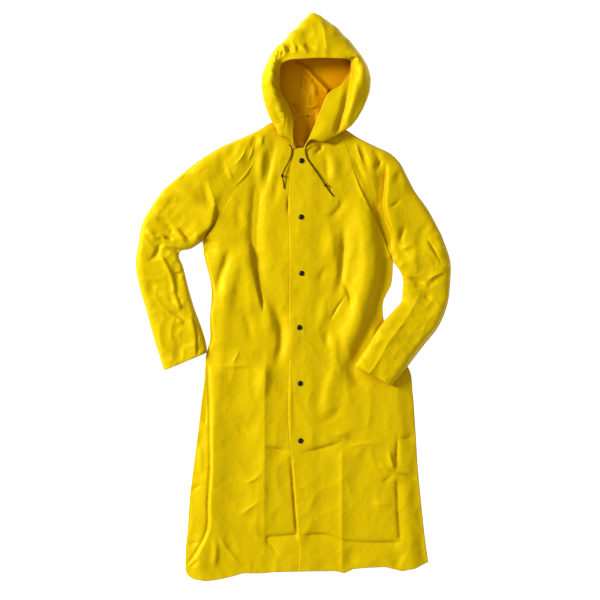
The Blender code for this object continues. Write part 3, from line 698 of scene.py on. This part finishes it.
def new_material(name):
    """A material, its main shader, and functions that add a node and link two."""
    mat = bpy.data.materials.new(name)
    mat.use_nodes = True
    nodes = mat.node_tree.nodes

    def add_node(kind, **values):
        node = nodes.new("ShaderNode" + kind)
        set_inputs(node, **values)
        return node

    def link(source, output, target, entry):
        mat.node_tree.links.new(source.outputs[output], target.inputs[entry])

    return mat, nodes["Principled BSDF"], add_node, link


def cloth_material(name, light, mid, painted_shade, painted_shade_range, rough, grain):
    """Coated cloth: uneven yellow, semi-gloss, finely creased, with painted shade: ambient
    occlusion turns its base colour darker and more orange in its hollows, for the shade
    there and the light that has already met other yellow cloth."""
    mat, shader, add_node, link = new_material(name)
    place = add_node("TexCoord")
    cloud = add_node("TexNoise", Scale=9.0, Detail=4.0)
    tone = add_node("Mix")
    tone.data_type = "RGBA"
    tone.inputs[MIX_A].default_value = (*mid, 1)
    tone.inputs[MIX_B].default_value = (*light, 1)
    # painted shade: ambient occlusion mixes the base colour towards the painted-shade colour in
    # hollows and creases
    hollow = add_node("AmbientOcclusion", Distance=0.20)
    hollow.samples = 6
    painted_shade_factor = add_node("MapRange", From_Min=painted_shade_range[0], From_Max=painted_shade_range[1])
    colour = add_node("Mix")
    colour.data_type = "RGBA"
    colour.inputs[MIX_A].default_value = (*painted_shade, 1)
    crinkle = add_node("TexNoise", Scale=48.0, Detail=4.0, Distortion=0.8)
    pores = add_node("TexNoise", Scale=900.0, Detail=2.0)
    gloss = add_node("MapRange", To_Min=rough - 0.06, To_Max=rough + 0.08)
    bump = add_node("Bump", Strength=0.30, Distance=0.002)
    fine = add_node("Bump", Strength=grain, Distance=0.0004)
    for texture in (cloud, crinkle, pores):
        link(place, "Object", texture, "Vector")
    link(cloud, "Fac", tone, 0)
    link(hollow, "AO", painted_shade_factor, "Value")
    link(painted_shade_factor, "Result", colour, 0)
    link(tone, MIX_RESULT, colour, MIX_B)
    link(colour, MIX_RESULT, shader, "Base Color")
    link(crinkle, "Fac", gloss, "Value")
    link(gloss, "Result", shader, "Roughness")
    link(crinkle, "Fac", bump, "Height")
    link(pores, "Fac", fine, "Height")
    link(bump, "Normal", fine, "Normal")
    link(fine, "Normal", shader, "Normal")
    set_inputs(shader, Specular_IOR_Level=0.30, Specular_Tint=(1.0, 0.80, 0.03, 1))
    return mat


def plain_material(name, colour, rough, scale, strength):
    """A hard or fibrous material with a fine bump and uneven gloss."""
    mat, shader, add_node, link = new_material(name)
    set_inputs(shader, Base_Color=(*colour, 1), Specular_IOR_Level=0.25)
    place = add_node("TexCoord")
    grain = add_node("TexNoise", Scale=scale)
    gloss = add_node("MapRange", To_Min=rough - 0.05, To_Max=rough + 0.08)
    bump = add_node("Bump", Strength=strength, Distance=0.0003)
    link(place, "Object", grain, "Vector")
    link(grain, "Fac", gloss, "Value")
    link(gloss, "Result", shader, "Roughness")
    link(grain, "Fac", bump, "Height")
    link(bump, "Normal", shader, "Normal")
    return mat


# ---------- back and fronts
def front_edges(raglan, side, offset):
    """Outer edge of a front, from the hem to the neck, and the raglan seam's share of it."""
    upper = inset(smooth(raglan, RAGLAN_ROWS), offset)
    lower = smooth(side, SIDE_ROWS)[1:]
    return np.concatenate([upper, lower])[::-1], length(upper) / (length(upper) + length(side))


def inner_edge(points, share):
    """The other edge of a front, with its points shared out like the outer edge's."""
    fine = smooth(points, FINE)
    cut = int(round(share * (FINE - 1)))
    upper, lower = even(fine[:cut + 1], RAGLAN_ROWS), even(fine[cut:], SIDE_ROWS)
    return np.concatenate([upper, lower[1:]])[::-1]


def build_back(faces):
    left = front_edges(RAGLAN_R, SIDE_R, SEAM)[0]
    right = front_edges(RAGLAN_L, SIDE_L, -SEAM)[0]
    hem = HEM_R[:-1] + HEM_L[1:]
    grid = panel_points(left[::BACK_STEP], right[::BACK_STEP], NECK_BACK, hem, BACK_COLUMNS)
    x, y = grid[..., 0], grid[..., 1]
    calm = ease(side_clearance(x, y) / BACK_CALM)
    grid = np.dstack([x, y, WALL / 2 + np.abs(uneven(BACK_UNEVEN, x, y)) * calm])
    under_hood = grid[-1].copy()
    under_hood[:, 1] += UNDER_HOOD * ease((y[-1] - UNDER_HOOD_FROM) / UNDER_HOOD)
    obj = sheet("back", np.concatenate([grid, under_hood[None]]), faces)


def build_fronts(faces):
    under = [NECK_FRONT_R[0], (UNDERLAP, 0.100), (UNDERLAP, -0.430), HEM_R[-1]]
    outer, share = front_edges(RAGLAN_R, SIDE_R, SEAM)
    grid = panel_points(outer, inner_edge(under, share), NECK_FRONT_R[::-1], HEM_R, PANEL_COLUMNS)
    right = sheet("front_r", with_height(grid, body_height), faces)

    outer, share = front_edges(RAGLAN_L, SIDE_L, -SEAM)
    grid = panel_points(inner_edge(PLACKET, share), outer, NECK_FRONT_L, HEM_L, PANEL_COLUMNS)
    left = sheet("front_l", with_height(grid, lap_height), faces)


# ---------- sleeves
def flat_floor(x, y):
    return np.full(np.shape(x), WALL / 2)


def floor_over_body(x, y):
    """Lower layer of the sleeve that lies across the front."""
    x, y = np.asarray(x, float), np.asarray(y, float)
    lift = ease((side_clearance(x, y) + CLIMB_FROM) / CLIMB) * ease((LIFT_TOP - y) / LIFT_RUN)
    return WALL / 2 + SLEEVE_L_OVER_BODY * lift


def round_off(d, radius):
    """0 at an edge, 1 inside, round like a folded sheet."""
    t = np.clip(1 - d / radius, 0, 1)
    return np.sqrt(1 - t * t)


def sleeve_heights(outer, inner, floor):
    """Rows of one sleeve: the points across it, its lower layer and its uncreased upper one."""
    crowded = 0.5 - 0.5 * np.cos(np.linspace(0, math.pi, ARM_COLUMNS))
    across = 0.5 * crowded + 0.5 * np.linspace(0, 1, ARM_COLUMNS)
    rows = []
    for k, (out, start_at) in enumerate(zip(outer, inner)):
        arm = ease((k - RAGLAN_ROWS + ARM_BLEND) / (ARM_BLEND + 2))
        width = np.linalg.norm(out - start_at)
        edge = out - ARM_FOLD * (out - start_at) / width
        at = start_at + across[:, None] * (edge - start_at)
        low = floor(at[:, 0], at[:, 1])
        from_seam = across * width
        raglan_z = body_form(start_at[:1], start_at[1:])[0]
        seam_z = raglan_z * (1 - arm) + arm * (low[0] + LAYER_GAP)
        fold_z = float(floor(out[0], out[1])) + 2 * ARM_FOLD
        top = low + LEVEL * (low.max() - low) * arm + ARM_TOP * ease(width / SHOULDER_RISE)
        shoulder = seam_z + (top - seam_z) * ease(from_seam / SHOULDER_RISE)
        tube = seam_z + (top - seam_z) * round_off(from_seam, SEAM_ROUND)
        z = shoulder * (1 - arm) + tube * arm
        to_fold = width - from_seam
        rounding = min(FOLD_ROUND, ROUND_SHARE * width)
        z = fold_z + (z - fold_z) * round_off(to_fold, rounding)
        rows.append(dict(at=at, low=low, z=z, edge=edge, out=(out - start_at) / width,
                         fold=fold_z, arm=arm, from_seam=from_seam, to_fold=to_fold))
    return rows


def sleeve_section(row, z, floor):
    """One ring of a sleeve, open at its seam: upper layer, fold, lower layer."""
    start, edge, out = row["at"][0], row["edge"], row["out"]
    inward = TUCK * (1 - row["arm"]) + SEAM_LAP
    drop = TUCK_DROP * (1 - row["arm"]) + SEAM_SINK
    section = [(*(start - inward * out), max(z[0] - drop, row["low"][0]))]
    section += [(*at, height) for at, height in zip(row["at"], z)]
    for turn in np.radians(np.linspace(0, 180, FOLD_STEPS)[1:-1]):
        section.append((*(edge + ARM_FOLD * math.sin(turn) * out),
                        row["fold"] - ARM_FOLD + ARM_FOLD * math.cos(turn)))
    for share in np.linspace(1, 0, LOWER_COLUMNS):
        at = start + share * (edge - start)
        section.append((*at, float(floor(at[0], at[1]))))
    return section


def build_sleeve(node, raglan, top, table, floor, folds, faces, flip):
    """Sections from the neck down the raglan seam, then along the arm to the cuff."""
    upper_arm = smooth(top, RAGLAN_ROWS)
    forearm = smooth([top[-1]] + metres(*[row["outer"] for row in table]), ARM_ROWS)[1:]
    under_arm = smooth([raglan[-1]] + metres(*[row["inner"] for row in table]), ARM_ROWS)[1:]
    rows = sleeve_heights(np.concatenate([upper_arm, forearm]),
                          np.concatenate([raglan, under_arm]), floor)
    x, y = (np.array([row["at"][:, axis] for row in rows]) for axis in (0, 1))
    arm = np.array([row["arm"] for row in rows])[:, None]
    low, z, from_seam, to_fold = (np.array([row[key] for row in rows])
                                  for key in ("low", "z", "from_seam", "to_fold"))
    pressed = press(folds, x, y)
    creases = (pressed + uneven(SLEEVE_UNEVEN, x, y)) * arm
    creases += (1 - arm) * (pressed + body_creases(x, y))
    calm = ease(to_fold / CALM) * (1 - arm * (1 - ease(from_seam / CALM)))
    z = np.maximum(z + creases * calm, low + LAYER_GAP)
    grid = [sleeve_section(row, heights, floor) for row, heights in zip(rows, z)]
    obj = sheet(node, grid, faces, flip)


# ---------- hood
def normals(grid):
    """Unit normals of a grid of points."""
    n = np.cross(np.gradient(grid, axis=0), np.gradient(grid, axis=1))
    return n / np.maximum(np.linalg.norm(n, axis=2), 1e-9)[..., None]


def back_seam_x(y):
    return np.interp(y, *zip(*BACK_SEAM))


def hood_form(table, side):
    """Points of one half, before it is creased: rows to the brim, columns from the hem."""
    sections = []
    for row in table:
        back = row["back"] / 1000
        points = metres(*(row[key] for key in ("hem", "wall", "fold", "floor")))
        points = np.array(points + [(back_seam_x(back) + side * SEAM, back, WALL / 2)])
        points[:, 2] += HOOD_STAND * np.maximum(points[:, 2] - HOOD_LOW, 0)
        sections.append(smooth(points, HOOD_COLUMNS))
    columns = np.swapaxes(sections, 0, 1)
    return np.stack([smooth(column, HOOD_ROWS) for column in columns], axis=1)


def hood_rise(grid, hollow, puckers):
    """How far the folds, the seams and the gathers stand out of a half's form."""
    x, y = grid[..., 0], grid[..., 1]
    steps = np.linalg.norm(np.diff(grid, axis=1), axis=2)
    from_hem = np.concatenate([np.zeros((HOOD_ROWS, 1)), np.cumsum(steps, axis=1)], axis=1)
    along = distances(grid[:, 0])[:, None] + 0 * from_hem
    outside = 1 - hollow
    rise = press(HOOD_OUTSIDE_FOLDS, x, y) * outside + press(HOOD_INSIDE_FOLDS, x, y) * hollow
    rise += HOOD_FACETS * crumple(x, y, 0.040, seed=6)
    rise += HOOD_WAVES * ripple(x, y, 0.05, seed=7, z=grid[..., 2])

    # the tunnel's sewn line, and the cloth gathered beside it, on the right of the face
    sewn = bell(from_hem - TUNNEL, SEWN_WIDTH) * ease((SEWN_TO - x) / SEWN_TO)
    gather = crumple(along, GATHER_STRETCH * from_hem, GATHER_SIZE, seed=21)
    gather *= bell(from_hem - TUNNEL - GATHER_AT, GATHER_WIDTH)
    gather *= ease((GATHER_TO - x) / GATHER_FADE)
    rise += (puckers * gather - SEWN_DEPTH * sewn) * ease(along / GATHER_FROM) * outside

    # the ridge of the centre seam, and the turned edge of the brim
    middle = bell(HOOD_ROWS - 1 - np.arange(HOOD_ROWS), RIDGE_ROWS)[:, None]
    brim = bell(from_hem - BRIM_WIDTH, BRIM_WIDTH) * ease((y[:, :1] - BRIM_FROM) / BRIM_FADE)
    return rise + (RIDGE_RISE * middle + BRIM_RISE * brim) * outside


def build_hood_half(node, table, side, puckers, faces, flip):
    """One half of the hood: side is -1 for the wearer's right, puckers is a height."""
    grid = hood_form(table, side)
    out = -side * normals(grid)
    hollow = ease(1 - (out[..., 2] + FACING) / (2 * FACING))   # 1 where the cloth faces down
    rise = hood_rise(grid, hollow, puckers)
    x, y = grid[..., 0], grid[..., 1]
    over_neck = 1 - ease((y - NECK_OVER) / NECK_FADE)
    over_seam = (1 - ease(np.abs(x - back_seam_x(y)) / SEAM_FADE)) * (side < 0) * hollow
    grid = grid + rise[..., None] * np.where(hollow[..., None] > 0.5, (0, 0, 1.0), out)
    least = WALL / 2 + TUCK_DROP * np.maximum(over_neck, over_seam)
    grid[..., 2] = np.maximum(grid[..., 2], least)
    if side > 0:
        # seam allowances that run under the other half
        under = grid[:, -1] - np.array([TUCK, 0, 0])
        grid = np.concatenate([grid, under[:, None]], axis=1)
        tuck = grid[-1] - np.array([BRIM_TUCK, 0, TUCK_DROP])
        tuck[:, 2] = np.maximum(tuck[:, 2], WALL / 2)
        grid = np.concatenate([grid, tuck[None]])
    obj = sheet(node, grid, faces, flip)


# ---------- snaps and drawcord
def ring(centre, across, up, radii):
    """A closed ring of points round a centre, its last point on its first."""
    turn = 2 * math.pi * np.arange(len(radii)) / (len(radii) - 1)
    return centre + (radii * np.cos(turn))[:, None] * across + (radii * np.sin(turn))[:, None] * up


def height_under(surface, x, y):
    """Height of the top face of a front at one point."""
    return float(surface(np.array([x]), np.array([y]))[0]) + WALL / 2


def build_snaps(mat):
    east, north = np.array([1.0, 0, 0]), np.array([0, 1.0, 0])
    around = np.ones(SNAP_POINTS + 1)
    for number, (x, y) in enumerate(SNAPS, 1):
        top = height_under(lap_height, x, y)
        rings = [ring(np.array([x, y, top + z]), east, north, r * around) for r, z in SNAP_PROFILE]
        mesh = grid_mesh(f"snap_cap_{number}", np.swapaxes(rings, 0, 1), flip=True)
        weld(add(mesh.name, mesh, mat, f"snap_{number}"))


def cord_route(route):
    """A cord's path, kept clear of the front below it."""
    path = []
    for x, y, z in route:
        below = height_under(lap_height if x > PLACKET_X else body_height, x, y)
        path.append((x, y, max(z, below + CORD_RADIUS + CORD_GAP)))
    return smooth(path, CORD_ROWS)


def frames(path):
    """Two directions across a path at each of its points, turning as little as they can."""
    tangent = np.gradient(path, axis=0)
    tangent /= np.linalg.norm(tangent, axis=1)[:, None]
    side = np.cross(tangent, (0, 0, 1.0))
    side /= np.linalg.norm(side, axis=1)[:, None]
    return side, np.cross(side, tangent)


def add_tube(name, rings, mat, node):
    """A tube of rings, closed at both ends."""
    ends = [np.repeat(rings[k][:-1].mean(axis=0)[None], len(rings[k]), axis=0) for k in (0, -1)]
    obj = add(name, grid_mesh(name, [ends[0]] + rings + [ends[1]]), mat, node)
    weld(obj)
    return obj


def build_cord(name, route, mat, node):
    """A braided cord: its strands cross over as two opposite spirals."""
    path = cord_route(route)
    side, up = frames(path)
    turn = 2 * math.pi * np.arange(CORD_POINTS + 1) / CORD_POINTS
    rings = []
    for k, twist in enumerate(distances(path) / BRAID_PITCH):
        braid = np.cos(BRAID_STRANDS * turn + twist) * np.cos(BRAID_STRANDS * turn - twist)
        radii = CORD_RADIUS * (1 - BRAID_DEPTH + BRAID_DEPTH * braid)
        rings.append(ring(path[k], side[k], up[k], radii))
    obj = add_tube(name, rings, mat, node)


def build_knot(name, route, at, mat, node):
    """A tight overhand knot: turns of the cord wound round its own line."""
    path = cord_route(route)
    spot = int(np.argmin(np.linalg.norm(path - np.array(route[at]), axis=1)))
    side, up = frames(path)
    tangent = np.cross(up[spot], side[spot])
    radii = np.full(KNOT_POINTS + 1, KNOT_STRAND)
    rings = []
    for t in np.linspace(0, 1, KNOT_ROWS):
        a = 2 * math.pi * KNOT_TURNS * t
        lobes = KNOT_RADIUS - KNOT_LOBES * math.cos(2 * a)
        out = math.cos(a) * side[spot] + math.sin(a) * up[spot]
        swell = 1 - KNOT_SWELL * (1 - math.sin(math.pi * t))
        centre = path[spot] + tangent * (t - 0.5) * KNOT_LENGTH + lobes * swell * out
        rings.append(ring(centre, out, tangent, radii))
    return add_tube(name, rings, mat, node)


# ---------- stage
def build_stage():
    scene = bpy.context.scene
    camera = bpy.data.cameras.new("camera")
    camera.lens = LENS
    camera.sensor_width = SENSOR
    camera.clip_end = 50
    camera_object = bpy.data.objects.new("camera", camera)
    camera_object.location = (*PICTURE_MIDDLE, PICTURE_WIDTH * LENS / SENSOR)
    scene.collection.objects.link(camera_object)
    scene.camera = camera_object

    bpy.ops.mesh.primitive_plane_add(size=8, location=(0, 0, FLOOR_Z))
    floor = bpy.context.object
    floor.name = "floor"
    mat = plain_material("floor_white", (0.93, 0.93, 0.93), 0.7, 40, 0.02)
    set_inputs(mat.node_tree.nodes["Principled BSDF"], **FLOOR_GLOW)
    floor.data.materials.append(mat)

    for row in LIGHTS:
        light = bpy.data.lights.new(row["name"], "AREA")
        light.shape = "DISK"
        light.size = row["size"]
        light.energy = row["watts"]
        lamp = bpy.data.objects.new(row["name"], light)
        lamp.location = row["spot"]
        lamp.rotation_euler = (-Vector(row["spot"])).to_track_quat("-Z", "Y").to_euler()
        scene.collection.objects.link(lamp)
    world = bpy.data.worlds.new("studio")
    scene.world = world
    world.use_nodes = True
    set_inputs(world.node_tree.nodes["Background"], **WORLD_LIGHT)
    scene.view_settings.view_transform = "Standard"


# ---------- build
build_stage()
OUTSIDE = cloth_material("coated_cloth", light=(0.62, 0.462, 0.0015), mid=(0.57, 0.410, 0.001),
                         painted_shade=(0.42, 0.160, 0.0005), painted_shade_range=(0.22, 0.88), rough=0.42, grain=0.10)
# painted shade: the inner faces get a more orange copy of the cloth, for the shade and bounced
# light inside the hood and the coat
INSIDE_PAINTED_SHADE = cloth_material("coated_cloth_inside_painted_shade", light=(0.76, 0.450, 0.001),
                        mid=(0.72, 0.395, 0.001), painted_shade=(0.60, 0.225, 0.0004),
                        painted_shade_range=(0.40, 0.97), rough=0.48, grain=0.14)
CORD = plain_material("drawcord", (0.006, 0.004, 0.002), rough=0.90, scale=2500, strength=0.5)
SNAP = plain_material("snap_plastic", (0.004, 0.004, 0.004), rough=0.30, scale=900, strength=0.05)
build_back((INSIDE_PAINTED_SHADE, OUTSIDE))
build_fronts((OUTSIDE, INSIDE_PAINTED_SHADE))
build_sleeve("sleeve_r", inset(smooth(RAGLAN_R, RAGLAN_ROWS), -SEAM), SLEEVE_R_TOP, SLEEVE_R,
             flat_floor, SLEEVE_R_FOLDS, (INSIDE_PAINTED_SHADE, OUTSIDE), True)
build_sleeve("sleeve_l", inset(smooth(RAGLAN_L, RAGLAN_ROWS), SEAM), SLEEVE_L_TOP, SLEEVE_L,
             floor_over_body, SLEEVE_L_FOLDS, (INSIDE_PAINTED_SHADE, OUTSIDE), False)
build_hood_half("hood_r", HOOD_R, -1, 0.0022, (OUTSIDE, INSIDE_PAINTED_SHADE), flip=True)
build_hood_half("hood_l", HOOD_L, 1, 0.0008, (OUTSIDE, INSIDE_PAINTED_SHADE), flip=False)
build_snaps(SNAP)
knot_r = build_knot("knot_r_cord", CORD_R, 7, CORD, "knot_r")
knot_l = build_knot("knot_l_cord", CORD_L, 9, CORD, "knot_l")
build_cord("cord_r_tube", CORD_R, CORD, "cord_r")
build_cord("cord_l_tube", CORD_L, CORD, "cord_l")
